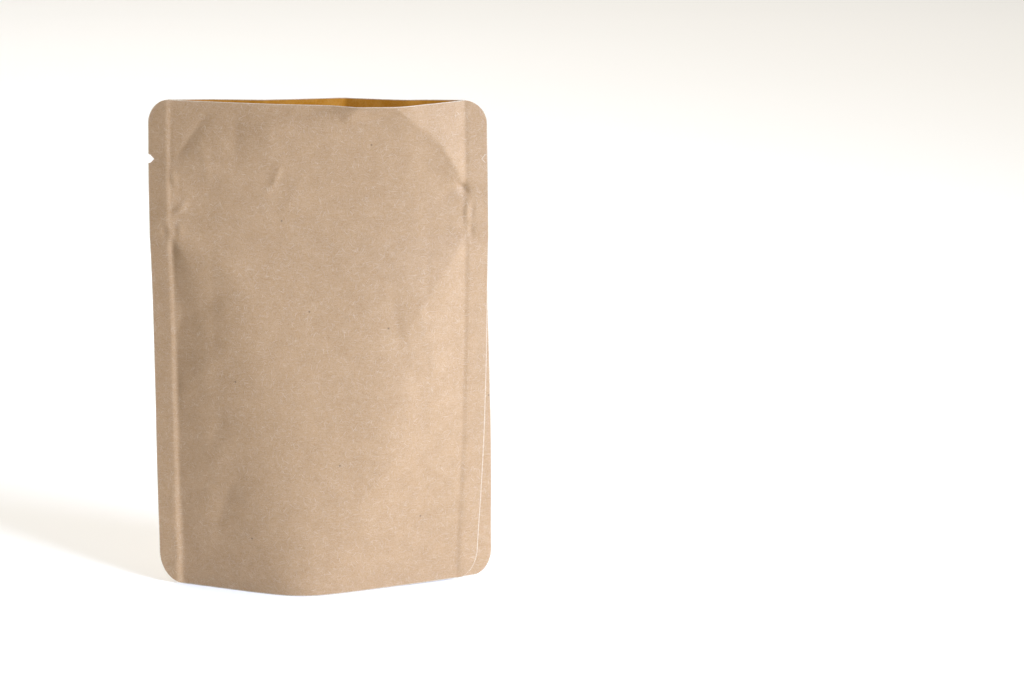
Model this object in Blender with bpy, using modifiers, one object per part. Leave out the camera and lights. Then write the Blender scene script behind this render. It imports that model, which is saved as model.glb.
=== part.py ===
"""Kraft stand-up pouch: a front and a back sheet sealed along both sides, and a gusset folded into the bottom.

The pouch is empty and stands on its open gusset, with its mouth gaping. The sheets are welded for good,
so it is one solid. Each sheet is drawn flat, as (u, v) across and up the paper, and then bent to its form.
Metres, +Z up, the front faces -Y, and the origin is at the middle of the bottom of its box.
"""

import math

import bmesh
import bpy
import numpy as np

# The flat sheets
PANEL_WIDTH = 0.100
PANEL_HEIGHT = 0.150
SHEET = 0.0003
SEAM_WIDTH = 0.0066
# How far each rounded corner reaches across and up
CORNERS = {
    "top_left": (0.0060, 0.0072),
    "top_right": (0.0074, 0.0072),
    "bottom_left": (0.0080, 0.0100),
    "bottom_right": (0.0058, 0.0086),
}
HALF_WIDTH = PANEL_WIDTH / 2
SEAM_LINE = HALF_WIDTH - SEAM_WIDTH

# Tear notches, cut into both side seams below the mouth
NOTCH_HEIGHT = PANEL_HEIGHT - 0.0176
NOTCH_DEPTH = 0.0017
NOTCH_SHOULDER = 0.0006
NOTCH_HALF_WIDTH = 0.0014
NOTCH_CORNER = 0.0002
LOW_NOTCH_DROP = 0.0065

# The body: three facets on each side that meet at a rounded nose on the bottom edge
NOSE_U = -0.0053
NOSE_DEPTH = {"front": 0.0134, "back": 0.0130}
NOSE_ROUNDING = 0.0016
NOSE_HEIGHT = 0.058
# Above the nose the side facets are steeper by these shares, and the body fills out quickly below the zip
STEEPER = {"left": 0.12, "right": 0.60}
BODY_DEPTH = {"front": 0.0107, "back": 0.0104}
BODY_ROUNDING = 0.0020
FILL_REACH = 0.030
CORNER_LIFT = {"left": 0.0, "right": 0.0005}
LIFT_HEIGHT = 0.030

# Along the zip the sheets stay nearly flat, so the facets above and below it start in a point at its ends
TAPE_BOTTOM = 0.110
TAPE_TOP = 0.123
ZIP_HEIGHT = (TAPE_BOTTOM + TAPE_TOP) / 2
ZIP_DEPTH = {"front": 0.0033, "back": 0.0048}
ZIP_SLOPE = {"front": {"left": 0.16, "right": 0.26}, "back": {"left": 0.18, "right": 0.18}}
ZIP_ROUNDING = 0.0016
# Every crease sharpens towards the seams over this distance
CREASE_TAPER = 0.012

# The gaping mouth
LIP_ROUNDING = 0.0008
LIP_FLARE = 1.3
FRONT_LIP_DEPTH = 0.0075
FRONT_LIP_SLOPE = {"left": 0.12, "right": 0.40}
BACK_LIP_DEPTH = 0.0022
BACK_LIP_SLOPE = 0.21
BACK_KINK_U = 0.0078
BACK_KINK = 0.0034
BACK_KINK_REACH = {"left": 0.024, "right": 0.018}
# A tip of the front lip is pulled out: its ridge runs down to a root, and it ends at a place on each side
TIP_HEIGHT = 0.0017
TIP_ROOT = (0.0068, 0.1442)
TIP_RIDGE = (0.0112, 0.1500)
TIP_ENDS = ((0.0036, 0.1500), (0.0290, 0.1494))
TIP_ROUNDING = 0.06

# The sheets were cut and sealed slightly askew, so the back one stands out beyond the front one low on the right
SWAY = {"front": -0.0004, "back": 0.0047}
SWAY_HEIGHT = 0.095
# How far the left cut edges stand out at the bottom, and as far in at the top
SKEW = 0.0004
# The right seam bows out a little below the zip
SEAM_BOW = 0.0008
# How far the filled body pushes the seams out beside it
BODY_SPREAD = 0.0006
BOW_HEIGHT = 0.065
BOW_REACH = 0.090
# The side seams lean back from their inner borders
SEAM_LEAN = {"left": 0.26, "right": 0.16}
RIGHT_LEAN_MORE = 0.15
LEAN_REACH = 0.035

# Gusset, folded in at the bottom and sealed to each panel below a U-shaped line
GUSSET_FOLD = 0.030
BOTTOM_SEAL = 0.005
SEAL_CURVE = GUSSET_FOLD - BOTTOM_SEAL

# Zip: a tape with a rib along its middle, welded across the inside of each panel
TAPE_HEIGHT = 0.0125
TAPE_THICKNESS = 0.0003
TAPE_REACH = SEAM_LINE - 0.0025
RIB_HEIGHT = 0.0018
RIB_THICKNESS = 0.0006
RIB_REACH = SEAM_LINE - 0.0070

# How finely the sheets are divided
BODY_COLUMNS = 20
SEAM_COLUMNS = 2
CORNER_ROWS = 4
ROW_SPACING = 0.0075
GUSSET_ROWS = 4
TABLE_STEP = 0.001

# Mid-surfaces of sealed sheets lie this far apart, so that the sheets merge where they touch
SEALED_SPACING = 0.7 * SHEET
# How deep a gusset's or a rib's welded side lies in its panel
EMBEDDED = 0.4 * SHEET

PAPER_COLOUR = (0.52, 0.37, 0.24, 1.0)
PAPER_ROUGHNESS = 0.85


def smooth_least(rounding, *values):
    """The least of some depths, rounded off where two of them cross."""
    return -rounding * np.log(sum(np.exp(-value / rounding) for value in values))


def pulled_tip(u, v):
    """How far the pulled tip stands out, as a share of its height: two facets that meet along its ridge."""
    facets = []
    for end in TIP_ENDS:
        along = end[0] - TIP_ROOT[0], end[1] - TIP_ROOT[1]
        here = along[0] * (v - TIP_ROOT[1]) - along[1] * (u - TIP_ROOT[0])
        ridge = along[0] * (TIP_RIDGE[1] - TIP_ROOT[1]) - along[1] * (TIP_RIDGE[0] - TIP_ROOT[0])
        facets.append(here / ridge)
    return np.maximum(0, smooth_least(TIP_ROUNDING, *facets))


def back_lip(u):
    """How far the back sheet's top edge stands off the seam plane: nearly flat, with a low tent."""
    from_seam = SEAM_LINE - np.abs(u)
    level = smooth_least(LIP_ROUNDING, BACK_LIP_SLOPE * from_seam, BACK_LIP_DEPTH + 0 * u)
    reach = np.where(u < BACK_KINK_U, BACK_KINK_REACH["left"], BACK_KINK_REACH["right"])
    return level + BACK_KINK * np.maximum(0, 1 - np.abs(u - BACK_KINK_U) / reach)


def depth(side, u, v):
    """How far a sheet stands off the seam plane at a place on the flat sheet: three facets, creased softly."""
    u, v = np.asarray(u, float), np.asarray(v, float)
    from_left, from_right = u + SEAM_LINE, SEAM_LINE - u
    low = 1 - np.exp(-np.clip(TAPE_BOTTOM - v, 0, 1) / FILL_REACH)
    nose = np.clip(1 - v / NOSE_HEIGHT, 0, 1)
    high = np.clip((v - TAPE_TOP) / (PANEL_HEIGHT - TAPE_TOP), 0, 1)
    opened = high**LIP_FLARE if side == "front" else 0
    left = NOSE_DEPTH[side] / (NOSE_U + SEAM_LINE) * (1 + STEEPER["left"] * (1 - nose) ** 2)
    right = NOSE_DEPTH[side] / (SEAM_LINE - NOSE_U) * (1 + STEEPER["right"] * (1 - nose) ** 2)
    left = left + (FRONT_LIP_SLOPE["left"] - left) * opened
    right = right + (FRONT_LIP_SLOPE["right"] - right) * opened
    slope = ZIP_SLOPE[side]
    rises = slope["left"] * from_left, slope["right"] * from_right
    flat = smooth_least(ZIP_ROUNDING, *rises, ZIP_DEPTH[side] + 0 * u)
    middle = flat + (BODY_DEPTH[side] - flat) * low + (NOSE_DEPTH[side] - BODY_DEPTH[side]) * nose**2
    middle = middle + (FRONT_LIP_DEPTH - ZIP_DEPTH[side]) * opened
    rounding = ZIP_ROUNDING + (BODY_ROUNDING - ZIP_ROUNDING) * low + (LIP_ROUNDING - ZIP_ROUNDING) * opened
    rounding = rounding + (NOSE_ROUNDING - BODY_ROUNDING) * nose
    taper = np.clip((SEAM_LINE - np.abs(u)) / CREASE_TAPER, 0.05, 1)
    shape = smooth_least(rounding * taper, left * from_left, right * from_right, middle)
    if side == "front":
        shape = shape + TIP_HEIGHT * pulled_tip(u, v)
    else:
        shape = shape * (1 - high) + back_lip(u) * high
    return np.where(np.abs(u) < SEAM_LINE, np.maximum(shape, 0), 0)


def form_tables():
    """Where each place of the flat sheet ends up across and up: bending neither stretches nor shrinks it."""
    widest = round(HALF_WIDTH + SWAY["back"] + TABLE_STEP, 3)
    us = np.arange(-widest, widest + TABLE_STEP / 2, TABLE_STEP)
    vs = np.arange(0, PANEL_HEIGHT + TABLE_STEP / 2, TABLE_STEP)
    grid_u, grid_v = np.meshgrid(us, vs)
    mean = (depth("front", grid_u, grid_v) + depth("back", grid_u, grid_v)) / 2
    across = np.sqrt(1 - np.diff(mean, axis=1) ** 2 / TABLE_STEP**2) * TABLE_STEP
    up = np.sqrt(1 - np.diff(mean, axis=0) ** 2 / TABLE_STEP**2) * TABLE_STEP
    xs = np.concatenate([np.zeros((len(vs), 1)), np.cumsum(across, axis=1)], axis=1)
    zs = np.concatenate([np.zeros((1, len(us))), np.cumsum(up, axis=0)], axis=0)
    return us, vs, xs - xs[:, -1:] / 2, zs


US, VS, XS, ZS = form_tables()


def read_table(table, u, v):
    """A table's value between its entries."""
    column = np.clip((u - US[0]) / TABLE_STEP, 0, len(US) - 1.001)
    row = np.clip((v - VS[0]) / TABLE_STEP, 0, len(VS) - 1.001)
    i, j = int(column), int(row)
    a, b = column - i, row - j
    low = table[j, i] * (1 - a) + table[j, i + 1] * a
    high = table[j + 1, i] * (1 - a) + table[j + 1, i + 1] * a
    return low * (1 - b) + high * b


def sway(side, v):
    """How far the sheet's right edge stands out at a height, because it was cut and sealed askew."""
    return SWAY[side] * max(0.0, 1 - v / SWAY_HEIGHT) ** 1.3


def bow(u, v):
    """How far to the right the bowed right seam and the filled body bring a place."""
    bowed = SEAM_BOW * math.cos(math.pi * (v - BOW_HEIGHT) / BOW_REACH) * (0.5 + u / PANEL_WIDTH) ** 2
    beside = min(max(v / TAPE_BOTTOM, 0.15), 1)
    return bowed + BODY_SPREAD * math.sin(math.pi * beside) * u / HALF_WIDTH


def fin_lean(u, v):
    """How steeply a fin leans back: the right one more beside the body than above the zip."""
    if u < 0:
        return SEAM_LEAN["left"]
    return SEAM_LEAN["right"] + RIGHT_LEAN_MORE * min(max((TAPE_TOP - v) / LEAN_REACH, 0), 1)


def lift(u, v):
    """How far the bottom corners are held clear of the ground."""
    near = max(0.0, 1 - v / LIFT_HEIGHT) ** 2
    return CORNER_LIFT["left" if u < 0 else "right"] * near * abs(u / HALF_WIDTH) ** 2.5


def bent(side, u, v, inwards=0.0):
    """The place in space of a point of a sheet's mid-surface, or of one that lies further inside the pouch."""
    away = float(depth(side, u, v)) + SEALED_SPACING / 2 - inwards
    x = read_table(XS, u, v) + bow(u, v)
    lean = fin_lean(u, v) * max(0.0, abs(u) - SEAM_LINE)
    y = lean + (-away if side == "front" else away)
    z = read_table(ZS, u, v) + lift(u, v)
    return x, y, z


def corner_inset(hand, v):
    """How far a side's rounded corners bring the cut edge in at a height. They are quarters of ellipses."""
    for (width, height), from_end in ((CORNERS["bottom_" + hand], v), (CORNERS["top_" + hand], PANEL_HEIGHT - v)):
        if from_end < height:
            return width * (1 - math.sqrt(1 - (1 - from_end / height) ** 2))
    return 0.0


def notch_inset(v, notch_height):
    """How far a tear notch brings the cut edge in at a height: two short shoulders and a V."""
    off = abs(v - notch_height)
    straight = NOTCH_HALF_WIDTH - NOTCH_CORNER
    if off > straight + NOTCH_CORNER / 2:
        return 0.0
    return NOTCH_SHOULDER + (NOTCH_DEPTH - NOTCH_SHOULDER) * (1 - min(off, straight) / straight)


def notch_heights(side):
    """The notches' heights on the left and right edge. The askew back sheet's right one sits lower."""
    return NOTCH_HEIGHT, NOTCH_HEIGHT - (LOW_NOTCH_DROP if side == "back" else 0)


def body_columns():
    return np.linspace(-SEAM_LINE, SEAM_LINE, BODY_COLUMNS + 1)


def cut_edges(side, v):
    """How far the sheet reaches to the left and to the right at a height."""
    left_notch, right_notch = notch_heights(side)
    left = HALF_WIDTH + SKEW * (1 - 2 * v / PANEL_HEIGHT) - corner_inset("left", v) - notch_inset(v, left_notch)
    right = HALF_WIDTH + sway(side, v) - corner_inset("right", v) - notch_inset(v, right_notch)
    return left, right


def sheet_columns(side, v):
    """The sheet's columns at a height: the body's and the seams', of which the outer ones follow the cut edge."""
    to_left, to_right = cut_edges(side, v)
    seam = np.linspace(SEAM_LINE, HALF_WIDTH, SEAM_COLUMNS + 1)[1:]
    columns = np.concatenate([-seam[::-1], body_columns(), seam])
    above_corners = v > max(CORNERS["bottom_left"][1], CORNERS["bottom_right"][1])
    if above_corners and v < PANEL_HEIGHT - CORNERS["top_left"][1]:
        fixed = SEAM_LINE
    else:
        fixed = body_columns()[-3]
    for edge, outer in ((-to_left, columns < -fixed), (to_right, columns > fixed)):
        share = (np.abs(columns[outer]) - fixed) / (HALF_WIDTH - fixed)
        columns[outer] = math.copysign(fixed, edge) * (1 - share) + edge * share
    return columns


def sheet_rows(side):
    """The sheet's rows: close together round the corners and the notches, evenly spaced elsewhere."""
    arc = [1 - math.cos(math.pi / 2 * k / CORNER_ROWS) for k in range(CORNER_ROWS + 1)]
    rows = [CORNERS["bottom_left"][1] * share for share in arc]
    rows += [PANEL_HEIGHT - CORNERS["top_left"][1] * share for share in arc]
    notch_steps = (-NOTCH_HALF_WIDTH, NOTCH_CORNER - NOTCH_HALF_WIDTH, 0)
    for height in set(notch_heights(side)):
        rows += [height + step for step in notch_steps]
        rows += [height - step for step in notch_steps[:2]]
    rows += [TAPE_BOTTOM, ZIP_HEIGHT, TAPE_TOP]
    even = np.arange(ROW_SPACING, PANEL_HEIGHT, ROW_SPACING)
    rows += [v for v in even if min(abs(v - row) for row in rows) > ROW_SPACING * 0.45]
    return sorted(rows)


def grid_mesh(name, columns, rows, place):
    """A grid of that many columns and rows of points, each moved to where place(column, row) says."""
    mesh = bpy.data.meshes.new(name)
    bm = bmesh.new()
    bmesh.ops.create_grid(bm, x_segments=columns - 1, y_segments=rows - 1, size=0.5)
    for vert in bm.verts:
        column = round((vert.co.x + 0.5) * (columns - 1))
        row = round((vert.co.y + 0.5) * (rows - 1))
        vert.co = place(column, row)
    bmesh.ops.recalc_face_normals(bm, faces=bm.faces)
    bm.to_mesh(mesh)
    bm.free()
    return mesh


def thick_sheet(name, mesh, thickness, collection, material):
    """An object that gives a mid-surface its thickness, half to each side."""
    obj = bpy.data.objects.new(name, mesh)
    mesh.materials.append(material)
    collection.objects.link(obj)
    solidify = obj.modifiers.new("paper thickness", "SOLIDIFY")
    solidify.thickness = thickness
    solidify.offset = 0
    solidify.use_even_offset = True
    return obj


def panel(side, collection, material):
    rows = sheet_rows(side)
    columns = [sheet_columns(side, v) for v in rows]

    def place(column, row):
        return bent(side, columns[row][column], rows[row])

    mesh = grid_mesh(side, len(columns[0]), len(rows), place)
    return thick_sheet(side + "_panel", mesh, SHEET, collection, material)


def seal_height(u):
    """The height up to which the gusset is sealed to the panels: a flat strip that sweeps up to the seams."""
    t = min(1.0, max(0.0, abs(u) - (SEAM_LINE - SEAL_CURVE)) / SEAL_CURVE)
    return BOTTOM_SEAL + SEAL_CURVE * (1 - math.sqrt(1 - t * t))


def gusset_leaf(side, collection, material):
    """One half of the gusset, from the line where it leaves its panel up to the fold between the panels."""
    past_fold = 0.02
    reach = SEAM_LINE - 0.0004
    columns = np.clip(body_columns(), -reach, reach)

    def place(column, row):
        u = columns[column]
        low = seal_height(u)
        rim = bent(side, u, low, EMBEDDED)
        other = bent("back" if side == "front" else "front", u, low, EMBEDDED)
        half_gap = abs(rim[1] - other[1]) / 2
        fold_rise = math.sqrt(max((GUSSET_FOLD - low) ** 2 - half_gap**2, 0))
        along = (1 + past_fold) * row / GUSSET_ROWS
        middle = ((rim[0] + other[0]) / 2, (rim[1] + other[1]) / 2)
        return (
            rim[0] + (middle[0] - rim[0]) * along,
            rim[1] + (middle[1] - rim[1]) * along,
            rim[2] + fold_rise * along,
        )

    mesh = grid_mesh("gusset_" + side, len(columns), GUSSET_ROWS + 1, place)
    return thick_sheet("gusset_" + side, mesh, SHEET, collection, material)


def zip_strip(name, side, height, thickness, reach, embedded, collection, material):
    """A strip of the zip, welded across the inside of a panel."""
    columns = np.clip(body_columns(), -reach, reach)
    columns = columns[np.flatnonzero(np.diff(columns, prepend=-1))]
    inwards = thickness / 2 + SHEET / 2 - embedded

    def place(column, row):
        return bent(side, columns[column], ZIP_HEIGHT + (row / 2 - 0.5) * height, inwards)

    mesh = grid_mesh(name, len(columns), 3, place)
    return thick_sheet(name + "_" + side, mesh, thickness, collection, material)


def paper_material():
    material = bpy.data.materials.new("kraft_paper")
    material.use_nodes = True
    surface = material.node_tree.nodes["Principled BSDF"]
    surface.inputs["Base Color"].default_value = PAPER_COLOUR
    surface.inputs["Roughness"].default_value = PAPER_ROUGHNESS
    surface.inputs["Metallic"].default_value = 0.0
    return material


def welded(whole, others):
    """Joins the sheets of a collection to one of them, for good."""
    union = whole.modifiers.new("welded sheets", "BOOLEAN")
    union.operation = "UNION"
    union.operand_type = "COLLECTION"
    union.collection = others
    union.solver = "EXACT"
    graph = bpy.context.evaluated_depsgraph_get()
    mesh = bpy.data.meshes.new_from_object(whole.evaluated_get(graph))
    whole.modifiers.clear()
    whole.data = mesh
    for obj in list(others.objects):
        bpy.data.objects.remove(obj)
    bpy.data.collections.remove(others)


def stand_on_origin(obj):
    """Moves the mesh so that the middle of the bottom of its box is the origin."""
    points = np.array([vert.co for vert in obj.data.vertices])
    low, high = points.min(axis=0), points.max(axis=0)
    for vert in obj.data.vertices:
        vert.co.x -= (low[0] + high[0]) / 2
        vert.co.y -= (low[1] + high[1]) / 2
        vert.co.z -= low[2]


def main():
    for obj in list(bpy.data.objects):
        bpy.data.objects.remove(obj)
    parts = bpy.data.collections.new("stand_up_pouch")
    others = bpy.data.collections.new("sheets_to_weld")
    bpy.context.scene.collection.children.link(parts)
    bpy.context.scene.collection.children.link(others)
    paper = paper_material()
    pouch = panel("front", parts, paper)
    pouch.name = "pouch"
    panel("back", others, paper)
    for side in ("front", "back"):
        gusset_leaf(side, others, paper)
        zip_strip("tape", side, TAPE_HEIGHT, TAPE_THICKNESS, TAPE_REACH, EMBEDDED, others, paper)
        zip_strip("rib", side, RIB_HEIGHT, RIB_THICKNESS, RIB_REACH, EMBEDDED / 2, others, paper)
    welded(pouch, others)
    stand_on_origin(pouch)
    pouch.data.shade_smooth()
    pouch.data.set_sharp_from_angle(angle=math.radians(35))


main()
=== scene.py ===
import math

import bmesh
import bpy
import numpy as np
from mathutils import Matrix, Vector, noise


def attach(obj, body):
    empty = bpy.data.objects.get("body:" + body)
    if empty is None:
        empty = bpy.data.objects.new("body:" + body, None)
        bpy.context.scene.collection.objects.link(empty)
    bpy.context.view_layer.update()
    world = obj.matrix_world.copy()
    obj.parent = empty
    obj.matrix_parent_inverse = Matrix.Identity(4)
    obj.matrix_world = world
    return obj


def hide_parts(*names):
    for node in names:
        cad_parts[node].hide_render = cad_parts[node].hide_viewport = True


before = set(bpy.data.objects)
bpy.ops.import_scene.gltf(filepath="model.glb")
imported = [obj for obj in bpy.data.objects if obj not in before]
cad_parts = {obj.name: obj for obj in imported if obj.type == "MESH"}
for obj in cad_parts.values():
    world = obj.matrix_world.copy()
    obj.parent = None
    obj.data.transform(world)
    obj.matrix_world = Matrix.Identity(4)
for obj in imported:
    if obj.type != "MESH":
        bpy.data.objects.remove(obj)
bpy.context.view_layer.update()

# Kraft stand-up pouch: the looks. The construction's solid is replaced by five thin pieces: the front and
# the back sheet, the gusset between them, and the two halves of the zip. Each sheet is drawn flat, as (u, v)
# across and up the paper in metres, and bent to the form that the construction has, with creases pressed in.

MM = 0.001

# The flat sheets, as in the construction
PANEL_WIDTH = 0.100
PANEL_HEIGHT = 0.150
SEAM_WIDTH = 0.0066
# How far each rounded corner reaches across and up
CORNERS = {
    "top_left": (0.0060, 0.0072),
    "top_right": (0.0074, 0.0072),
    "bottom_left": (0.0080, 0.0100),
    "bottom_right": (0.0058, 0.0086),
}
HALF_WIDTH = PANEL_WIDTH / 2
SEAM_LINE = HALF_WIDTH - SEAM_WIDTH

# Paper, film and adhesive together
SHEET = 0.00018
# The die roughened the paper along its cut edges. A strip this wide along them is drawn lighter: partly the
# pale torn fibres, partly painted highlight where the edge catches the light.
FIBRE_AND_HIGHLIGHT_STRIP = 0.00022

# How finely the sheets are divided. Outside the body the columns follow the cut edges.
GRID = 0.0006
CORNER_ROWS = 14
BODY_REACH = 0.034
# Each sheet has its own stretch of the flat layout that the paper's grain is drawn on
LAYOUT_PLACE = {"front": 0, "back": 3 * PANEL_WIDTH, "gusset": 6 * PANEL_WIDTH}
SHARP_EDGE = 50

# Tear notches
NOTCH_HEIGHT = PANEL_HEIGHT - 0.0176
NOTCH_DEPTH = 0.0017
NOTCH_SHOULDER = 0.0006
NOTCH_HALF_WIDTH = 0.0014
NOTCH_CORNER = 0.0002
LOW_NOTCH_DROP = 0.0065

# The body: three facets on each side that meet at a rounded nose on the bottom edge
NOSE_U = -0.0053
NOSE_DEPTH = {"front": 0.0134, "back": 0.0130}
NOSE_ROUNDING = 0.0016
NOSE_HEIGHT = 0.058
# Above the nose the side facets are steeper by these shares, and the body fills out quickly below the zip
STEEPER = {"left": 0.12, "right": 0.60}
BODY_DEPTH = {"front": 0.0107, "back": 0.0104}
BODY_ROUNDING = 0.0020
FILL_REACH = 0.030
CORNER_LIFT = {"left": 0.0, "right": 0.0005}
LIFT_HEIGHT = 0.030

# Along the zip the sheets stay nearly flat, so the facets above and below it start in a point at its ends
TAPE_BOTTOM = 0.110
TAPE_TOP = 0.123
ZIP_HEIGHT = (TAPE_BOTTOM + TAPE_TOP) / 2
ZIP_DEPTH = {"front": 0.0033, "back": 0.0048}
ZIP_SLOPE = {"front": {"left": 0.16, "right": 0.26}, "back": {"left": 0.18, "right": 0.18}}
ZIP_ROUNDING = 0.0016
# Every crease sharpens towards the seams over this distance
CREASE_TAPER = 0.012

# The gaping mouth
LIP_ROUNDING = 0.0008
LIP_FLARE = 1.3
FRONT_LIP_DEPTH = 0.0075
FRONT_LIP_SLOPE = {"left": 0.12, "right": 0.40}
BACK_LIP_DEPTH = 0.0022
BACK_LIP_SLOPE = 0.21
BACK_KINK_U = 0.0078
BACK_KINK = 0.0034
BACK_KINK_REACH = {"left": 0.024, "right": 0.018}
# A tip of the front lip is pulled out: its ridge runs down to a root, and it ends at a place on each side
TIP_HEIGHT = 0.0017
TIP_ROOT = (0.0068, 0.1442)
TIP_RIDGE = (0.0112, 0.1500)
TIP_ENDS = ((0.0036, 0.1500), (0.0290, 0.1494))
TIP_ROUNDING = 0.06

# The sheets were sealed slightly askew
SWAY = {"front": -0.0004, "back": 0.0047}
SWAY_HEIGHT = 0.095
# How far the left cut edges stand out at the bottom, and as far in at the top
SKEW = 0.0004
# How far out the left seam's inner border has drifted at the bottom
SEAM_DRIFT = 0.0008
# The right seam bows out a little below the zip
SEAM_BOW = 0.0008
# How far the filled body pushes the seams out beside it
BODY_SPREAD = 0.0006
BOW_HEIGHT = 0.065
BOW_REACH = 0.090

# The seams: a narrow step that the sealing jaws left, and beyond it the fins, which lean back
SEAM_STEP = {"left": 0.00026, "right": 0.00006}
STEP_WIDTH = 0.0011
SEAM_LEAN = {"left": 0.26, "right": 0.16}
RIGHT_LEAN_MORE = 0.15
LEAN_REACH = 0.035

# The gusset, folded in at the bottom and sealed to each panel below a U-shaped line
GUSSET_FOLD = 0.030
BOTTOM_SEAL = 0.005
SEAL_CURVE = GUSSET_FOLD - BOTTOM_SEAL
GUSSET_REACH = SEAM_LINE - 0.0003
GUSSET_COLUMNS = 144
SEAL_ROWS = 6
FOLD_ROWS = 28
# Its bottom edge is cut a little short, and its slopes bow up between the seals and the fold
GUSSET_SHORT = 0.0004
GUSSET_BOW = 0.0016
BOWED_GAP = 0.008
# Half a hole is punched out of it at each edge, so that the panels are sealed to each other there
PUNCH_HEIGHT = 0.0108
PUNCH_RADIUS = 0.0053
PUNCH_EDGE = 0.0006

# Half of the zip, as (height, how far it stands in) from its tape's lower edge to the upper one, in
# millimetres. Sealing crushed it flat near the seams.
ZIP_PROFILE = (
    (-6.2, 0.10), (-1.5, 0.10), (-1.1, 0.18), (-0.9, 0.75), (-0.4, 0.95), (-0.15, 0.55),
    (0.15, 0.55), (0.4, 0.95), (0.9, 0.75), (1.1, 0.18), (1.5, 0.10), (3.2, 0.10),
    (3.4, 0.30), (3.6, 0.10), (6.2, 0.10),
)
ZIP_REACH = SEAM_LINE - 0.0016
ZIP_COLUMNS = 120
ZIP_CRUSHED = 0.006
ZIP_CLEARANCE = 0.00006
ZIP_FILM = 0.00012

# The form is worked out on a table this fine
TABLE_STEP = 0.001


def soft_step(value):
    """Rises smoothly from 0 to 1 while the value does."""
    value = np.clip(value, 0, 1)
    return value * value * (3 - 2 * value)


def smooth_least(rounding, *values):
    """The least of some depths, rounded off where two of them cross."""
    return -rounding * np.log(sum(np.exp(-value / rounding) for value in values))


def pulled_tip(u, v):
    """How far the pulled tip stands out, as a share of its height: two facets that meet along its ridge."""
    facets = []
    for end in TIP_ENDS:
        along = end[0] - TIP_ROOT[0], end[1] - TIP_ROOT[1]
        here = along[0] * (v - TIP_ROOT[1]) - along[1] * (u - TIP_ROOT[0])
        ridge = along[0] * (TIP_RIDGE[1] - TIP_ROOT[1]) - along[1] * (TIP_RIDGE[0] - TIP_ROOT[0])
        facets.append(here / ridge)
    return np.maximum(0, smooth_least(TIP_ROUNDING, *facets))


def back_lip(u):
    """How far the back sheet's top edge stands off the seam plane: nearly flat, with a low tent."""
    from_seam = SEAM_LINE - np.abs(u)
    level = smooth_least(LIP_ROUNDING, BACK_LIP_SLOPE * from_seam, BACK_LIP_DEPTH + 0 * u)
    reach = np.where(u < BACK_KINK_U, BACK_KINK_REACH["left"], BACK_KINK_REACH["right"])
    return level + BACK_KINK * np.maximum(0, 1 - np.abs(u - BACK_KINK_U) / reach)


def depth(side, u, v):
    """How far a sheet stands off the seam plane at a place of the flat sheet: three softly creased facets."""
    from_left, from_right = u + SEAM_LINE, SEAM_LINE - u
    low = 1 - np.exp(-np.clip(TAPE_BOTTOM - v, 0, 1) / FILL_REACH)
    nose = np.clip(1 - v / NOSE_HEIGHT, 0, 1)
    high = np.clip((v - TAPE_TOP) / (PANEL_HEIGHT - TAPE_TOP), 0, 1)
    opened = high**LIP_FLARE if side == "front" else 0
    left = NOSE_DEPTH[side] / (NOSE_U + SEAM_LINE) * (1 + STEEPER["left"] * (1 - nose) ** 2)
    right = NOSE_DEPTH[side] / (SEAM_LINE - NOSE_U) * (1 + STEEPER["right"] * (1 - nose) ** 2)
    left = left + (FRONT_LIP_SLOPE["left"] - left) * opened
    right = right + (FRONT_LIP_SLOPE["right"] - right) * opened
    slope = ZIP_SLOPE[side]
    rises = slope["left"] * from_left, slope["right"] * from_right
    flat = smooth_least(ZIP_ROUNDING, *rises, ZIP_DEPTH[side] + 0 * u)
    middle = flat + (BODY_DEPTH[side] - flat) * low + (NOSE_DEPTH[side] - BODY_DEPTH[side]) * nose**2
    middle = middle + (FRONT_LIP_DEPTH - ZIP_DEPTH[side]) * opened
    rounding = ZIP_ROUNDING + (BODY_ROUNDING - ZIP_ROUNDING) * low + (LIP_ROUNDING - ZIP_ROUNDING) * opened
    rounding = rounding + (NOSE_ROUNDING - BODY_ROUNDING) * nose
    taper = np.clip((SEAM_LINE - np.abs(u)) / CREASE_TAPER, 0.05, 1)
    shape = smooth_least(rounding * taper, left * from_left, right * from_right, middle)
    if side == "front":
        shape = shape + TIP_HEIGHT * pulled_tip(u, v)
    else:
        shape = shape * (1 - high) + back_lip(u) * high
    return np.where(np.abs(u) < SEAM_LINE, np.maximum(shape, 0), 0)


def form_tables():
    """Where each place of the flat sheet ends up across and up: bending neither stretches nor shrinks it."""
    widest = round(HALF_WIDTH + SWAY["back"] + TABLE_STEP, 3)
    us = np.arange(-widest, widest + TABLE_STEP / 2, TABLE_STEP)
    vs = np.arange(0, PANEL_HEIGHT + TABLE_STEP / 2, TABLE_STEP)
    grid_u, grid_v = np.meshgrid(us, vs)
    mean = (depth("front", grid_u, grid_v) + depth("back", grid_u, grid_v)) / 2
    across = np.sqrt(1 - np.diff(mean, axis=1) ** 2 / TABLE_STEP**2) * TABLE_STEP
    up = np.sqrt(1 - np.diff(mean, axis=0) ** 2 / TABLE_STEP**2) * TABLE_STEP
    xs = np.concatenate([np.zeros((len(vs), 1)), np.cumsum(across, axis=1)], axis=1)
    zs = np.concatenate([np.zeros((1, len(us))), np.cumsum(up, axis=0)], axis=0)
    return us, vs, xs - xs[:, -1:] / 2, zs


US, VS, XS, ZS = form_tables()


def read_table(table, u, v):
    """A table's value between its entries."""
    column = np.clip((u - US[0]) / TABLE_STEP, 0, len(US) - 1.001)
    row = np.clip((v - VS[0]) / TABLE_STEP, 0, len(VS) - 1.001)
    i, j = column.astype(int), row.astype(int)
    a, b = column - i, row - j
    low = table[j, i] * (1 - a) + table[j, i + 1] * a
    high = table[j + 1, i] * (1 - a) + table[j + 1, i + 1] * a
    return low * (1 - b) + high * b


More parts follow.
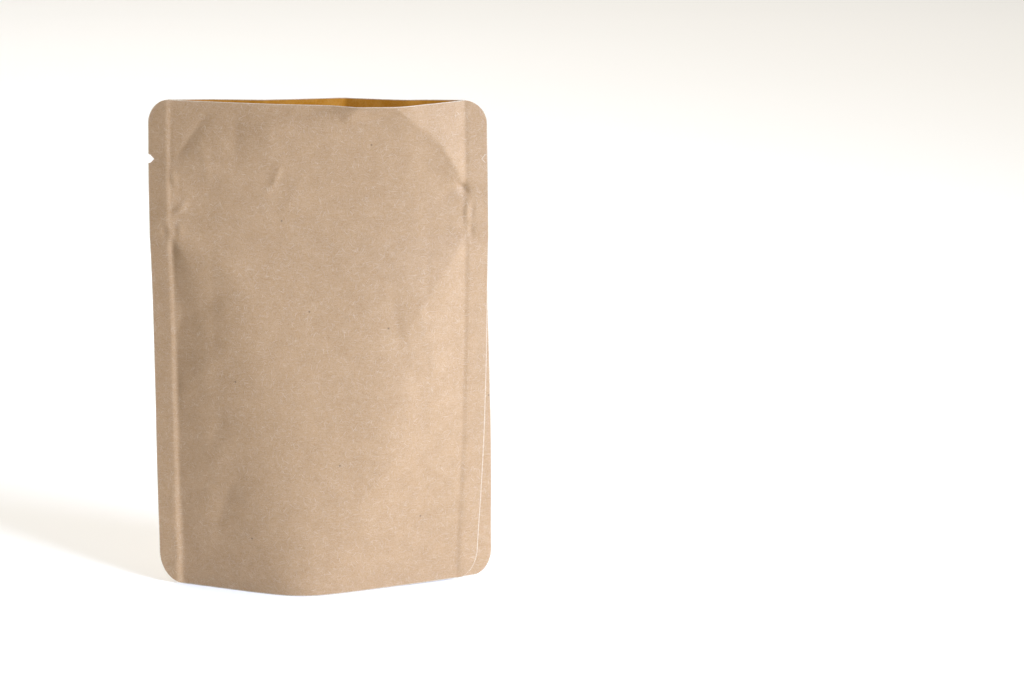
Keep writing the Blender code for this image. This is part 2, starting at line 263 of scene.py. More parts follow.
def sway(side, v):
    """How far the sheet's right edge stands out at a height, because it was cut and sealed askew."""
    return SWAY[side] * np.maximum(0.0, 1 - v / SWAY_HEIGHT) ** 1.3


def bow(u, v):
    """How far to the right the bowed right seam and the filled body bring a place."""
    bowed = SEAM_BOW * np.cos(math.pi * (v - BOW_HEIGHT) / BOW_REACH) * (0.5 + u / PANEL_WIDTH) ** 2
    return bowed + BODY_SPREAD * np.sin(math.pi * np.clip(v / TAPE_BOTTOM, 0.15, 1)) * u / HALF_WIDTH


def fin_lean(u, v):
    """How steeply a fin leans back: the right one more beside the body than above the zip."""
    more = RIGHT_LEAN_MORE * np.clip((TAPE_TOP - v) / LEAN_REACH, 0, 1)
    return np.where(u < 0, SEAM_LEAN["left"], SEAM_LEAN["right"] + more)


def lift(u, v):
    """How far the bottom corners are held clear of the ground."""
    near = np.maximum(0.0, 1 - v / LIFT_HEIGHT) ** 2
    return np.where(u < 0, CORNER_LIFT["left"], CORNER_LIFT["right"]) * near * np.abs(u / HALF_WIDTH) ** 2.5


def seam_line(u, v):
    """Where the seam's inner border lies: the left one drifts outwards towards the bottom."""
    return SEAM_LINE + np.where(u < 0, SEAM_DRIFT * (1 - v / PANEL_HEIGHT), 0)


def seam_plane(u, v):
    """How far back the middle plane between the sheets lies. What marks it bends both sheets."""
    beyond = np.abs(u) - seam_line(u, v)
    step = -np.where(u < 0, SEAM_STEP["left"], SEAM_STEP["right"]) * soft_step(beyond / STEP_WIDTH)
    in_seam = soft_step(beyond / STEP_WIDTH + 1)
    marks = SEAM_STIFFNESS * unevenness("seams", u / MM, v / MM) * in_seam
    marks += sum(fold(u / MM, v / MM, *one) for one in SEAM_FOLDS)
    return step + fin_lean(u, v) * np.maximum(0, beyond - STEP_WIDTH / 2) - marks * MM


# What handling left on the sheets, in millimetres on the flat sheet.
# A fold runs from one place to another: it stands out by a height (in, if negative) and fades over a reach,
# and its top is rounded over a softness.
FOLDS = {
    "front": [
        # the crease along the flat field's top right
        (22, 150, 36, 137.5, 0.70, 3.0, 0.3),
        (36, 137.5, 42.6, 126.5, 0.80, 2.4, 0.15),
        # soft creases of the upper field
        (-33.5, 145, -40.8, 134, -0.60, 2.0, 0.6),
        (-34.5, 137, -32.0, 127, 0.34, 2.6, 1.0),
        (-24.5, 147, -24, 133, -0.42, 2.8, 1.2),
        (-14, 148, -15, 138, 0.30, 3.0, 1.2),
        (4.4, 151, 5.2, 144.5, 0.42, 3.0, 1.2),
        (-11.6, 131.2, -13.6, 126.0, 0.34, 0.7, 0.12),
        (-13.6, 126.0, -16.0, 123.0, 0.14, 0.9, 0.2),
        (-4.7, 128.4, -10.6, 117.6, 0.12, 1.0, 0.3),
        # the zip's rib shows through
        (-41, 116.5, 42, 116.2, 0.08, 1.2, 0.5),
        # what runs out from the pinches at the zip's ends
        (-40.5, 119.5, -31.0, 123.5, -0.26, 1.6, 0.5),
        (-38.0, 108.0, -20.0, 94.0, 0.30, 3.2, 1.2),
        (40.5, 124.0, 35.0, 120.5, -0.30, 1.6, 0.4),
        (42.0, 107.0, 27.0, 85.0, 0.36, 2.2, 0.6),
        # the left side of the body
        (-26.3, 36, -31.7, 21, -0.55, 3.0, 1.4),
        (-36, 41, -27, 43, 0.36, 2.4, 1.0),
        (-42, 30, -34, 30.5, -0.30, 1.4, 0.5),
        (-42.0, 84, -27, 93, -0.50, 3.0, 1.2),
        (-42, 62, -28, 76, 0.36, 3.0, 1.2),
        (-33, 47, -28, 57, -0.36, 2.6, 1.0),
        # the right side of the body
        (12, 29, 22, 41, 0.42, 3.0, 1.2),
        (30, 41, 43, 31, 0.36, 2.2, 0.9),
        (26, 17, 38, 30, -0.30, 2.6, 1.0),
        (27, 68, 30, 48, -0.26, 2.4, 1.0),
        (20, 94, 24, 72, -0.40, 3.0, 1.0),
        (29, 92, 33, 70, 0.26, 2.6, 1.0),
    ],
    "back": [
        (-36, 138, -43, 126, 0.30, 2.0, 0.5),
        (8.0, 150, 3.0, 122, 0.34, 3.0, 0.5),
        (-41, 116.5, 42, 116.2, 0.08, 1.2, 0.5),
        (-40.0, 109.0, -24.0, 92.0, 0.30, 2.2, 0.8),
        (40.5, 108.0, 26.0, 86.0, 0.34, 2.2, 0.8),
        (-34, 70, -18, 50, 0.32, 3.2, 1.0),
        (28, 62, 14, 30, -0.36, 3.6, 1.2),
        (24, 96, 34, 80, 0.28, 2.4, 0.8),
        (-22, 34, -30, 18, -0.40, 2.4, 0.9),
    ],
}
# The same for marks that go through both sheets, mostly where the zip's ends are crushed into the seams.
# These stand out to the front.
SEAM_FOLDS = [
    (40.8, 125.4, 44.0, 122.4, -0.95, 0.85, 0.18),
    (38.0, 128.0, 41.6, 126.6, 0.30, 1.0, 0.3),
    (43.5, 118.4, 43.5, 114.4, 0.40, 0.35, 0.06),
    (45.3, 118.6, 44.7, 114.6, -0.34, 0.5, 0.12),
    (44.7, 112.6, 44.8, 108.8, -0.55, 0.7, 0.15),
    (44.0, 108.6, 42.9, 106.0, 0.34, 0.6, 0.12),
    (42.8, 111.5, 38.0, 113.0, 0.24, 1.1, 0.3),
    (-43.7, 131.0, -42.0, 124.6, 0.30, 0.7, 0.2),
    (-38.9, 120.2, -42.6, 115.8, 0.60, 1.3, 0.3),
    (-40.9, 112.9, -40.8, 110.0, 0.34, 0.8, 0.2),
    (-45.4, 112.0, -45.2, 109.6, -0.34, 0.6, 0.2),
    (-43.5, 112.4, -43.6, 107.4, 0.30, 0.5, 0.12),
    (-42.6, 106.6, -43.4, 104.2, -0.40, 0.7, 0.2),
]
# A dent lies at a place, reaches that far across and up, and goes in by a depth (out, if negative)
DENTS = {
    "front": [
        (-30, 100, 9, 10, -0.30),
        (16, 96, 12, 10, -0.24),
        (-20, 52, 8, 12, 0.40),
        (20, 44, 8, 10, -0.36),
        (-37, 24, 6, 8, -0.30),
        (8, 122, 16, 9, 0.20),
        (-5, 70, 12, 10, -0.20),
    ],
    "back": [
        (-18, 100, 14, 9, 0.24),
        (20, 40, 12, 16, 0.24),
        (-20, 36, 10, 20, -0.22),
    ],
}
# Slight unevenness of the paper: wavelength and height, in millimetres
WAVES = ((22.0, 0.18), (9.0, 0.055), (4.0, 0.014))
# Each sheet has its own place in the fixed noise, and the seams move less than the free sheets
NOISE_PLACE = {"front": 3.7, "back": 11.3, "seams": 23.1}
SEAM_STIFFNESS = 0.6
# The marks fade out over this distance from the seams
MARKS_FADE = 0.0025


def fold(u, v, from_u, from_v, to_u, to_v, height, reach, softness):
    """One fold's height over the sheet."""
    along_u, along_v = to_u - from_u, to_v - from_v
    t = ((u - from_u) * along_u + (v - from_v) * along_v) / (along_u**2 + along_v**2)
    nearest = np.clip(t, 0, 1)
    off = np.hypot(u - from_u - nearest * along_u, v - from_v - nearest * along_v)
    rounded = np.sqrt(off**2 + softness**2) - softness
    return height * np.exp(-rounded / reach) * (1 - 0.5 * (2 * nearest - 1) ** 2)


def unevenness(side, u, v):
    """Low waves in the paper, from a fixed noise."""
    total = np.zeros(u.shape)
    for wavelength, height in WAVES:
        places = zip(u.ravel() / wavelength, v.ravel() / wavelength)
        flat = [noise.noise(Vector((across, up, NOISE_PLACE[side]))) for across, up in places]
        total += height * np.array(flat).reshape(u.shape)
    return total


def punched(u, v):
    """1 where the gusset has its half hole, 0 elsewhere."""
    off = np.hypot(np.abs(u) - HALF_WIDTH, v - PUNCH_HEIGHT)
    return 1 - soft_step((off - PUNCH_RADIUS) / PUNCH_EDGE + 0.5)


def relief(side, u, v):
    """How far a sheet stands out of the smooth form: the handling's marks, and the gusset's edge below."""
    u_mm, v_mm = u / MM, v / MM
    total = unevenness(side, u_mm, v_mm)
    for one in FOLDS[side]:
        total += fold(u_mm, v_mm, *one)
    for at_u, at_v, reach_u, reach_v, deep in DENTS[side]:
        total -= deep * np.exp(-(((u_mm - at_u) / reach_u) ** 2) - ((v_mm - at_v) / reach_v) ** 2)
    in_body = soft_step((seam_line(u, v) - np.abs(u)) / MARKS_FADE)
    between = soft_step((np.abs(u) - SEAM_LINE) / 0.003) * soft_step((GUSSET_FOLD - v) / 0.002)
    return total * in_body * MM + SHEET * between * (1 - punched(u, v))


def bent(side, u, v, inwards=0.0, marked=True):
    """The places in space of points of a sheet's mid-surface, or of ones that lie further inwards."""
    away = depth(side, u, v) + SHEET / 2
    if marked:
        away = np.maximum(away + relief(side, u, v), SHEET / 2)
    x = read_table(XS, u, v) + bow(u, v)
    y = seam_plane(u, v) + (inwards - away if side == "front" else away - inwards)
    z = read_table(ZS, u, v) + lift(u, v)
    return np.stack([x, y, z], axis=-1)


def corner_inset(hand, v):
    """How far a side's rounded corners bring the cut edge in at a height. They are quarters of ellipses."""
    for end, from_end in (("bottom_", v), ("top_", PANEL_HEIGHT - v)):
        width, height = CORNERS[end + hand]
        if from_end < height:
            return width * (1 - math.sqrt(1 - (1 - max(from_end, 0) / height) ** 2))
    return 0.0


def notch_inset(v, notch_height):
    """How far a tear notch brings the cut edge in at a height: two short shoulders and a V."""
    off = abs(v - notch_height)
    straight = NOTCH_HALF_WIDTH - NOTCH_CORNER
    if off > straight + NOTCH_CORNER / 2:
        return 0.0
    return NOTCH_SHOULDER + (NOTCH_DEPTH - NOTCH_SHOULDER) * (1 - min(off, straight) / straight)


def notch_heights(side):
    """The notches' heights on the left and right edge. The askew back sheet's right one sits lower."""
    return NOTCH_HEIGHT, NOTCH_HEIGHT - (LOW_NOTCH_DROP if side == "back" else 0)


def cut_edges(side, v):
    """How far the sheet reaches to the left and to the right at a height."""
    left_notch, right_notch = notch_heights(side)
    left = HALF_WIDTH + SKEW * (1 - 2 * v / PANEL_HEIGHT)
    right = HALF_WIDTH + sway(side, v)
    left = left - corner_inset("left", v) - notch_inset(v, left_notch)
    right = right - corner_inset("right", v) - notch_inset(v, right_notch)
    return left, right


def sheet_rows(side):
    """The heights of a sheet's rows: close together round the corners and the notches, even elsewhere."""
    arc = [1 - math.cos(math.pi / 2 * k / CORNER_ROWS) for k in range(CORNER_ROWS + 1)]
    rows = [CORNERS["bottom_left"][1] * share for share in arc]
    rows += [PANEL_HEIGHT - CORNERS["top_left"][1] * share for share in arc]
    straight = NOTCH_HALF_WIDTH - NOTCH_CORNER
    for height in set(notch_heights(side)):
        rows += [height - NOTCH_HALF_WIDTH, height + NOTCH_HALF_WIDTH]
        rows += [height + straight * k / 2 for k in (-2, -1, 0, 1, 2)]
    even = np.arange(GRID, PANEL_HEIGHT, GRID)
    rows += [v for v in even if min(abs(v - row) for row in rows) > GRID * 0.45]
    return np.array(sorted(rows))


def sheet_grid(side):
    """The (u, v) places of a sheet's grid. Its outer columns follow the cut edges."""
    rows = sheet_rows(side)
    columns = np.linspace(-HALF_WIDTH, HALF_WIDTH, round(PANEL_WIDTH / GRID) + 1)
    columns = np.sort(np.append(columns, [FIBRE_AND_HIGHLIGHT_STRIP - HALF_WIDTH, HALF_WIDTH - FIBRE_AND_HIGHLIGHT_STRIP]))
    u = np.tile(columns, (len(rows), 1))
    for row, v in enumerate(rows):
        for sign, edge in zip((-1, 1), cut_edges(side, v)):
            outer = sign * columns > BODY_REACH
            share = (np.abs(columns[outer]) - BODY_REACH) / (HALF_WIDTH - BODY_REACH)
            u[row, outer] = sign * (BODY_REACH + share * (edge - BODY_REACH))
    return u, np.tile(rows[:, None], (1, len(columns)))


def grid_mesh(name, places, flat):
    """A grid whose points go to the places, with the flat sheet's own coordinates as its UV map."""
    row_count, column_count = places.shape[:2]
    mesh = bpy.data.meshes.new(name)
    bm = bmesh.new()
    bmesh.ops.create_grid(bm, x_segments=column_count - 1, y_segments=row_count - 1, size=0.5)
    uv = bm.loops.layers.uv.new("flat_sheet")
    for vert in bm.verts:
        column = round((vert.co.x + 0.5) * (column_count - 1))
        row = round((vert.co.y + 0.5) * (row_count - 1))
        vert.co = places[row, column]
        for loop in vert.link_loops:
            loop[uv].uv = flat[row, column]
    bm.to_mesh(mesh)
    bm.free()
    return mesh


def thick_piece(name, mesh, thickness, materials):
    """A surface made into a thick piece. The outer side, inner side and cut edge have their own finish."""
    obj = bpy.data.objects.new(name, mesh)
    bpy.context.scene.collection.objects.link(obj)
    for material in materials:
        mesh.materials.append(material)
    solidify = obj.modifiers.new("thickness", "SOLIDIFY")
    solidify.thickness = thickness
    solidify.offset = 0
    solidify.material_offset = 1
    solidify.material_offset_rim = 2
    graph = bpy.context.evaluated_depsgraph_get()
    thick = bpy.data.meshes.new_from_object(obj.evaluated_get(graph))
    obj.modifiers.clear()
    obj.data = thick
    bpy.data.meshes.remove(mesh)
    thick.shade_smooth()
    thick.set_sharp_from_angle(angle=math.radians(SHARP_EDGE))
    return obj


def sheet_piece(side, shift, materials):
    """The front or the back sheet."""
    u, v = sheet_grid(side)
    places = bent(side, u, v) + shift
    if side == "back":
        places, u, v = places[:, ::-1], u[:, ::-1], v[:, ::-1]
    flat = np.stack([u + LAYOUT_PLACE[side], v], axis=-1)
    piece = thick_piece(side + "_sheet", grid_mesh(side, places, flat), SHEET, materials)
    mark_edges(piece, side)
    return piece


def mark_edges(piece, side):
    """Gives the seams' inside bare paper, as the film melted into it there, and a strip along the cut edges
    the lighter cut-edge finish: torn fibres, and painted highlight of the edge catching the light.
    """
    uvs = piece.data.uv_layers["flat_sheet"].data
    for face in piece.data.polygons:
        corners = [uvs[loop].uv for loop in face.loop_indices]
        u = sum(corner.x for corner in corners) / len(corners) - LAYOUT_PLACE[side]
        v = sum(corner.y for corner in corners) / len(corners)
        if face.material_index == 1 and abs(u) > SEAM_LINE:
            face.material_index = 0
        left, right = cut_edges(side, v)
        # A strip along the cut edges takes the lighter finish: pale torn fibres and a painted highlight of
        # the edge
        if min(u + left, right - u, v, PANEL_HEIGHT - v) < FIBRE_AND_HIGHLIGHT_STRIP:
            face.material_index = 2


def seal_height(u):
    """The height up to which the gusset is sealed to the panels: a flat strip that sweeps up to the seams."""
    t = np.clip((np.abs(u) - (SEAM_LINE - SEAL_CURVE)) / SEAL_CURVE, 0, 1)
    return BOTTOM_SEAL + SEAL_CURVE * (1 - np.sqrt(1 - t * t))


def gusset_piece(shift, materials):
    """The folded bottom: up the inside of the front panel, over the fold, and down inside the back one."""
    u = np.linspace(-GUSSET_REACH, GUSSET_REACH, GUSSET_COLUMNS + 1)
    low = seal_height(u)
    welded = {"front": [], "back": []}
    for side, strip in welded.items():
        for k in range(SEAL_ROWS + 1):
            v = low * k / SEAL_ROWS + GUSSET_SHORT * (1 - k / SEAL_ROWS)
            strip.append(bent(side, u, v, SHEET))
    front, back = welded["front"][-1], welded["back"][-1]
    middle = (front + back) / 2
    half_gap = np.abs(front - back)[:, 1] / 2
    rise = np.sqrt(np.maximum((GUSSET_FOLD - low) ** 2 - half_gap**2, 0))
    bowed = GUSSET_BOW * np.clip(half_gap / BOWED_GAP, 0, 1)
    rows = list(welded["front"])
    for t in np.linspace(0, 1, FOLD_ROWS + 1)[1:-1]:
        arm = abs(2 * t - 1)
        rounded = 1 - np.sqrt(arm**2 + 0.004) + 0.002 * (1 - arm)
        place = middle + (front - middle) * max(0, 1 - 2 * t) + (back - middle) * max(0, 2 * t - 1)
        place[:, 2] += rise * rounded - bowed * np.sin(math.pi * arm)
        rows.append(place)
    rows += welded["back"][::-1]
    places = np.array(rows) + shift
    heights = np.linspace(0, 2 * GUSSET_FOLD, len(rows))
    flat = np.stack(np.meshgrid(u + LAYOUT_PLACE["gusset"], heights), axis=-1)
    return thick_piece("gusset", grid_mesh("gusset", places, flat), SHEET, materials)


def zip_piece(side, shift, materials):
    """Half of the zip: a clear tape with its profile, welded across the inside of a panel."""
    u = np.linspace(-ZIP_REACH, ZIP_REACH, ZIP_COLUMNS + 1)
    crushed = soft_step((SEAM_LINE - np.abs(u)) / ZIP_CRUSHED)
    rows = []
    for height, stands_in in ZIP_PROFILE:
        inwards = SHEET + ZIP_CLEARANCE + stands_in * crushed * MM
        rows.append(bent(side, u, np.full(u.shape, ZIP_HEIGHT + height * MM), inwards))
    places = np.array(rows) + shift
    if side == "back":
        places = places[:, ::-1]
    flat = np.stack(np.meshgrid(u, [height * MM for height, _ in ZIP_PROFILE]), axis=-1)
    return thick_piece("zip_" + side, grid_mesh("zip_" + side, places, flat), ZIP_FILM, materials)


# --- Materials

# The ways that the fibres lie, in degrees, and how soft a fibre's edge is
FIBRE_TURNS = (4, 27, 49, 74, 98, 121, 143, 166)
FIBRE_EDGE = 0.07

# Colours
KRAFT = {
    "dark cloud": (0.362, 0.221, 0.106, 1),
    "light cloud": (0.409, 0.256, 0.129, 1),
    "grain": (0.282, 0.162, 0.070, 1),
    "machine line": (0.448, 0.329, 0.210, 1),
    "fine fibre": (0.518, 0.406, 0.294, 1),
    "dark fibre": (0.210, 0.126, 0.059, 1),
    "light fibre": (0.602, 0.518, 0.420, 1),
    "speck": (0.077, 0.049, 0.028, 1),
}
# The inside's colours: the film-lined paper's own tone, pushed deeper orange as painted light for the glow
# inside the shaded pouch
LINED_AND_PAINTED_GLOW = {
    "dark cloud": (0.400, 0.165, 0.012, 1),
    "light cloud": (0.490, 0.225, 0.030, 1),
    "grain": (0.310, 0.122, 0.010, 1),
    "light fibre": (0.50, 0.28, 0.09, 1),
}
# Lighter than the face: the pale torn fibres, and painted highlight of the edge catching the light
TORN_FIBRES_AND_EDGE_HIGHLIGHT = ((0.42, 0.32, 0.22, 1), (0.58, 0.49, 0.38, 1))
MILKY_PLASTIC = ((0.60, 0.49, 0.34, 1), (0.72, 0.62, 0.47, 1))
PALE_FLOOR = ((0.94, 0.94, 0.935, 1), (0.96, 0.96, 0.955, 1))


class Nodes:
    """Short words for building a node tree."""

    def __init__(self, tree):
        self.tree = tree
        self.column = 0

    def add(self, kind, **settings):
        node = self.tree.nodes.new(kind)
        self.column += 1
        node.location = (180 * (self.column % 12), -220 * (self.column // 12))
        for name, value in settings.items():
            setattr(node, name, value)
        return node

    def plug(self, socket, value):
        if hasattr(value, "is_output"):
            self.tree.links.new(value, socket)
        else:
            socket.default_value = value

    def math(self, operation, *values):
        node = self.add("ShaderNodeMath", operation=operation)
        for socket, value in zip(node.inputs, values):
            self.plug(socket, value)
        return node.outputs[0]

    def vector(self, operation, *values):
        node = self.add("ShaderNodeVectorMath", operation=operation)
        for socket, value in zip(node.inputs, values):
            self.plug(socket, value)
        return node.outputs[0]

    def ramp(self, value, low, high, to_low=0.0, to_high=1.0):
        node = self.add("ShaderNodeMapRange", interpolation_type="SMOOTHSTEP")
        for socket, setting in zip(node.inputs, (value, low, high, to_low, to_high)):
            self.plug(socket, setting)
        return node.outputs[0]

    def noise(self, vector, scale, detail=2.0, roughness=0.5):
        node = self.add("ShaderNodeTexNoise", noise_dimensions="2D")
        settings = {"Vector": vector, "Scale": scale, "Detail": detail, "Roughness": roughness}
        for name, value in settings.items():
            self.plug(node.inputs[name], value)
        return node.outputs["Fac"]

    def mix(self, share, first, second):
        node = self.add("ShaderNodeMix", data_type="RGBA")
        self.plug(node.inputs[0], share)
        self.plug(node.inputs[6], first)
        self.plug(node.inputs[7], second)
        return node.outputs[2]


def fibre_group():
    """Short fibres strewn in all directions: threads of a stretched noise. The place is in millimetres."""
    tree = bpy.data.node_groups.new("strewn_fibres", "ShaderNodeTree")
    face = tree.interface
    face.new_socket("Place", in_out="INPUT", socket_type="NodeSocketVector")
    for name, value in (("Length", 2.0), ("Width", 0.2), ("Rarity", 0.66), ("Seed", 0.0)):
        face.new_socket(name, in_out="INPUT", socket_type="NodeSocketFloat").default_value = value
    face.new_socket("Fibres", in_out="OUTPUT", socket_type="NodeSocketFloat")
    make = Nodes(tree)
    given = make.add("NodeGroupInput")
    stretch = make.add("ShaderNodeCombineXYZ")
    make.plug(stretch.inputs[0], make.math("DIVIDE", 1.0, given.outputs["Length"]))
    make.plug(stretch.inputs[1], make.math("DIVIDE", 1.0, given.outputs["Width"]))
    full = make.math("ADD", given.outputs["Rarity"], FIBRE_EDGE)
    total = 0.0
    for number, degrees in enumerate(FIBRE_TURNS):
        turn = make.add("ShaderNodeVectorRotate", rotation_type="Z_AXIS")
        make.plug(turn.inputs["Vector"], given.outputs["Place"])
        make.plug(turn.inputs["Angle"], math.radians(degrees))
        stretched = make.vector("MULTIPLY", turn.outputs[0], stretch.outputs[0])
        shifted = make.add("ShaderNodeCombineXYZ")
        make.plug(shifted.inputs[0], make.math("ADD", given.outputs["Seed"], 7.3 * number))
        thread = make.noise(make.vector("ADD", stretched, shifted.outputs[0]), 1.0, 1.0, 0.4)
        total = make.math("MAXIMUM", total, make.ramp(thread, given.outputs["Rarity"], full))
    make.plug(make.add("NodeGroupOutput").inputs[0], total)
    return tree


def new_material(name):
    """A material, the words for building it, and its surface."""
    material = bpy.data.materials.new(name)
    material.use_nodes = True
    make = Nodes(material.node_tree)
    return material, make, material.node_tree.nodes["Principled BSDF"]


def flat_place(make):
    """The place on the flat sheet, in millimetres."""
    uv = make.add("ShaderNodeUVMap", uv_map="flat_sheet")
    return make.vector("MULTIPLY", uv.outputs[0], (1000, 1000, 0))


def strewn(make, group, place, length, width, rarity, seed):
    """Fibres of one kind: how long, wide and rare they are."""
    node = make.add("ShaderNodeGroup", node_tree=group)
    settings = {"Place": place, "Length": length, "Width": width, "Rarity": rarity, "Seed": seed}
    for name, value in settings.items():
        make.plug(node.inputs[name], value)
    return node.outputs[0]


def pressed(make, surface, height, strength, distance):
    """Fine relief on a surface."""
    bumps = make.add("ShaderNodeBump")
    make.plug(bumps.inputs["Strength"], strength)
    make.plug(bumps.inputs["Distance"], distance)
    make.plug(bumps.inputs["Height"], height)
    make.plug(surface.inputs["Normal"], bumps.outputs[0])


def kraft_paper(fibres):
    """Unbleached paper: clouded, grainy, with light and dark fibres and a stray speck."""
    material, make, surface = new_material("kraft_paper")
    place = flat_place(make)
    light = strewn(make, fibres, place, 3.6, 0.20, 0.76, 0.0)
    fine = strewn(make, fibres, place, 1.5, 0.14, 0.66, 31.0)
    dark = strewn(make, fibres, place, 2.6, 0.20, 0.74, 57.0)
    clouds = make.noise(place, 0.16, 4.0, 0.6)
    grain = make.noise(place, 2.6, 4.0, 0.8)
    machine = make.noise(make.vector("MULTIPLY", place, (0.35, 2.2, 0)), 1.0, 2.0, 0.6)
    colour = make.mix(make.ramp(clouds, 0.25, 0.75), KRAFT["dark cloud"], KRAFT["light cloud"])
    colour = make.mix(make.ramp(grain, 0.3, 0.7, 0.0, 0.60), colour, KRAFT["grain"])
    colour = make.mix(make.ramp(machine, 0.35, 0.75, 0.0, 0.16), colour, KRAFT["machine line"])
    colour = make.mix(make.math("MULTIPLY", fine, 0.20), colour, KRAFT["fine fibre"])
    colour = make.mix(make.math("MULTIPLY", dark, 0.38), colour, KRAFT["dark fibre"])
    colour = make.mix(make.math("MULTIPLY", light, 0.40), colour, KRAFT["light fibre"])
    cells = make.add("ShaderNodeTexVoronoi", voronoi_dimensions="2D", feature="F1")
    make.plug(cells.inputs["Vector"], place)
    make.plug(cells.inputs["Scale"], 0.028)
    specks = make.ramp(cells.outputs["Distance"], 0.011, 0.004)
    colour = make.mix(make.math("MULTIPLY", specks, 0.6), colour, KRAFT["speck"])
    make.plug(surface.inputs["Base Color"], colour)
    make.plug(surface.inputs["Roughness"], make.ramp(grain, 0.2, 0.8, 0.56, 0.70))
    raised = make.math("ADD", make.math("MULTIPLY", grain, 0.6), make.math("MULTIPLY", light, 0.5))
    raised = make.math("ADD", raised, make.math("MULTIPLY", fine, 0.3))
    pressed(make, surface, raised, 0.55, 0.05 * MM)
    return material


def lined_inside(fibres):
    """The inside: clear film over the paper, so glossy. Its darker, deep orange colour is partly the
    film-lined paper's own and partly painted light: the orange glow of light that filters through the paper
    and bounces round inside the shaded pouch.
    """
    material, make, surface = new_material("film_lining_and_painted_glow")
    place = flat_place(make)
    clouds = make.noise(place, 0.22, 3.0, 0.6)
    grain = make.noise(place, 2.4, 3.0, 0.6)
    light = strewn(make, fibres, place, 2.4, 0.25, 0.68, 11.0)
    colour = make.mix(make.ramp(clouds, 0.3, 0.7), LINED_AND_PAINTED_GLOW["dark cloud"], LINED_AND_PAINTED_GLOW["light cloud"])
    colour = make.mix(make.ramp(grain, 0.3, 0.8, 0.0, 0.30), colour, LINED_AND_PAINTED_GLOW["grain"])
    colour = make.mix(make.math("MULTIPLY", light, 0.25), colour, LINED_AND_PAINTED_GLOW["light fibre"])
    make.plug(surface.inputs["Base Color"], colour)
    make.plug(surface.inputs["Roughness"], make.ramp(clouds, 0.2, 0.8, 0.38, 0.50))
    surface.inputs["Specular IOR Level"].default_value = 0.12
    pressed(make, surface, grain, 0.4, 0.04 * MM)
    return material


def cut_edge():
    """The laminate's cut edge: torn fibres and film, lighter than the face, partly for the pale fibres and
    partly as painted highlight where the edge catches the light.
    """
    material, make, surface = new_material("cut_edge")
    place = flat_place(make)
    grain = make.noise(place, 2.5, 3.0, 0.7)
    colour = make.mix(make.ramp(grain, 0.3, 0.7), *TORN_FIBRES_AND_EDGE_HIGHLIGHT)
    make.plug(surface.inputs["Base Color"], colour)
    make.plug(surface.inputs["Roughness"], make.ramp(grain, 0.3, 0.7, 0.5, 0.75))
    return material


def zip_plastic():
    """Milky polyethylene."""
    material, make, surface = new_material("zip_plastic")
    place = flat_place(make)
    haze = make.noise(make.vector("MULTIPLY", place, (0.3, 3.0, 0)), 0.8, 2.0, 0.5)
    colour = make.mix(make.ramp(haze, 0.3, 0.7), *MILKY_PLASTIC)
    make.plug(surface.inputs["Base Color"], colour)
    make.plug(surface.inputs["Roughness"], make.ramp(haze, 0.3, 0.7, 0.25, 0.38))
    return material


# --- Setting

# The camera, in the frame's own axes: metres, degrees and, for the lens, millimetres
CAMERA_PLACE = (-0.0082, -0.6848, 0.2889)
CAMERA_YAW = 5.34
CAMERA_PITCH = 17.16
CAMERA_ROLL = 1.14
CAMERA_LENS = 84.4
SENSOR_WIDTH = 36.0

# The lights: a key from the right and a wide one overhead, with a pale room round them
KEY = {
    "place": (0.9, -0.6, 0.45), "target": (0.04, 0, -0.06), "size": (0.5, 0.5),
    "power": 3.3, "colour": (0.93, 1.055, 1.33), "spread": 62,
}
TOP = {
    "place": (-0.1, 0.6, 1.5), "target": (0, 0.3, 0), "size": (2.4, 1.8),
    "power": 33.5, "colour": (1.03, 0.985, 0.91), "spread": 180,
}
ROOM_LIGHT = 0.14
FLOOR_HALF = 6.0
FLOOR_DROP = 0.0001


def set_camera():
    """The camera, turned about its own axes: yaw to the right, pitch down, and roll."""
    yaw, pitch, roll = (math.radians(angle) for angle in (CAMERA_YAW, CAMERA_PITCH, CAMERA_ROLL))
    ahead = Vector((math.sin(yaw) * math.cos(pitch), math.cos(yaw) * math.cos(pitch), -math.sin(pitch)))
    level = Vector((math.cos(yaw), -math.sin(yaw), 0))
    up = level.cross(ahead)
    right = level * math.cos(roll) + up * math.sin(roll)
    above = up * math.cos(roll) - level * math.sin(roll)
    turned = Matrix((right, above, -ahead)).transposed().to_4x4()
    camera = bpy.data.objects.new("camera", bpy.data.cameras.new("camera"))
    camera.data.lens = CAMERA_LENS
    camera.data.sensor_width = SENSOR_WIDTH
    camera.data.clip_start = 0.01
    camera.matrix_world = Matrix.Translation(Vector(CAMERA_PLACE)) @ turned
    bpy.context.scene.collection.objects.link(camera)
    bpy.context.scene.camera = camera


def set_light(name, place, target, size, power, colour, spread):
    """A rectangular lamp that faces its target."""
    light = bpy.data.lights.new(name, "AREA")
    light.shape = "RECTANGLE"
    light.size, light.size_y = size
    light.energy = power
    light.color = colour
    light.spread = math.radians(spread)
    obj = bpy.data.objects.new(name, light)
    obj.location = place
    obj.rotation_euler = (Vector(target) - Vector(place)).to_track_quat("-Z", "Y").to_euler()
    bpy.context.scene.collection.objects.link(obj)


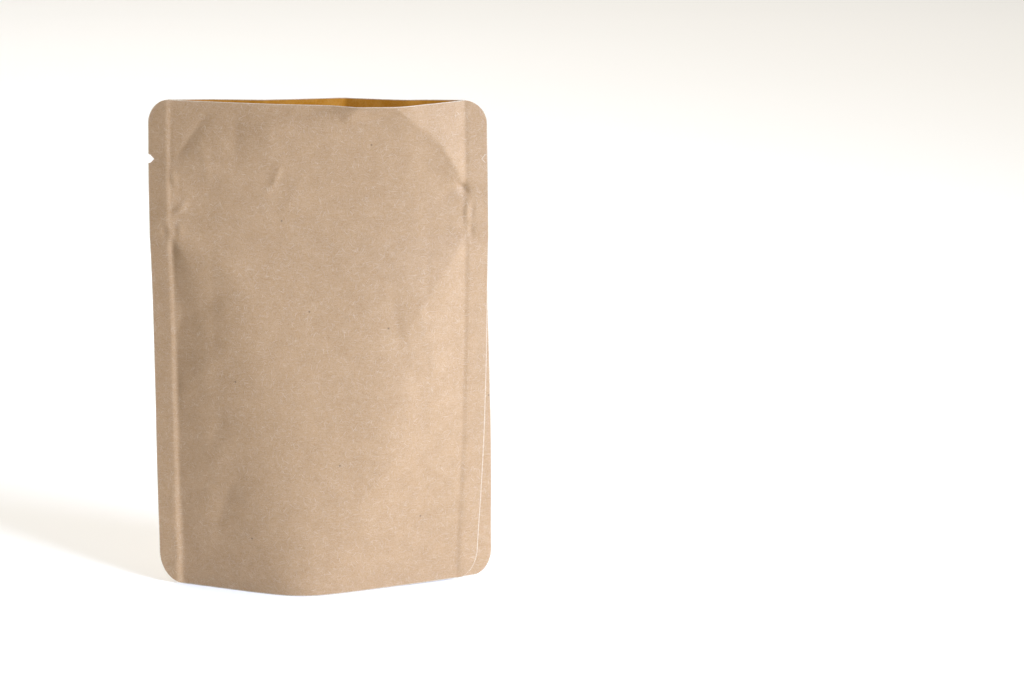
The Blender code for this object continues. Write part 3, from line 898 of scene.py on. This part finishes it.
def set_floor():
    """A plain pale floor, just under the pouch."""
    bm = bmesh.new()
    bmesh.ops.create_grid(bm, x_segments=1, y_segments=1, size=FLOOR_HALF)
    bmesh.ops.translate(bm, verts=bm.verts, vec=(0, 0, -FLOOR_DROP))
    mesh = bpy.data.meshes.new("floor")
    bm.to_mesh(mesh)
    bm.free()
    floor = bpy.data.objects.new("floor", mesh)
    bpy.context.scene.collection.objects.link(floor)
    material, make, surface = new_material("pale_floor")
    place = make.add("ShaderNodeTexCoord").outputs["Object"]
    haze = make.noise(place, 3.0, 2.0, 0.5)
    colour = make.mix(haze, *PALE_FLOOR)
    make.plug(surface.inputs["Base Color"], colour)
    make.plug(surface.inputs["Roughness"], 0.9)
    mesh.materials.append(material)


def set_world():
    """The pale room's own even light."""
    world = bpy.data.worlds.new("studio")
    world.use_nodes = True
    background = world.node_tree.nodes["Background"]
    background.inputs["Color"].default_value = (1, 1, 1, 1)
    background.inputs["Strength"].default_value = ROOM_LIGHT
    bpy.context.scene.world = world


def set_studio():
    set_camera()
    set_floor()
    set_world()
    set_light("key", **KEY)
    set_light("top", **TOP)
    bpy.context.scene.view_settings.view_transform = "Standard"


def frame_shift():
    """From the sheets' own axes to the frame's: the middle of the bottom of the box goes to the origin."""
    places = []
    for side in ("front", "back"):
        u, v = sheet_grid(side)
        places.append(bent(side, u, v, marked=False).reshape(-1, 3))
    points = np.concatenate(places)
    low, high = points.min(axis=0), points.max(axis=0)
    return np.array([-(low[0] + high[0]) / 2, -(low[1] + high[1]) / 2, -low[2]])


def main():
    shift = frame_shift()
    fibres = fibre_group()
    paper = kraft_paper(fibres)
    inside = lined_inside(fibres)
    edge = cut_edge()
    plastic = zip_plastic()
    outside_in = [paper, inside, edge]
    pieces = [
        sheet_piece("front", shift, outside_in),
        sheet_piece("back", shift, outside_in),
        gusset_piece(shift, [inside, paper, edge]),
        zip_piece("front", shift, [plastic, plastic, plastic]),
        zip_piece("back", shift, [plastic, plastic, plastic]),
    ]
    for piece in pieces:
        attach(piece, "root")
        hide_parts("pouch")
    set_studio()


main()
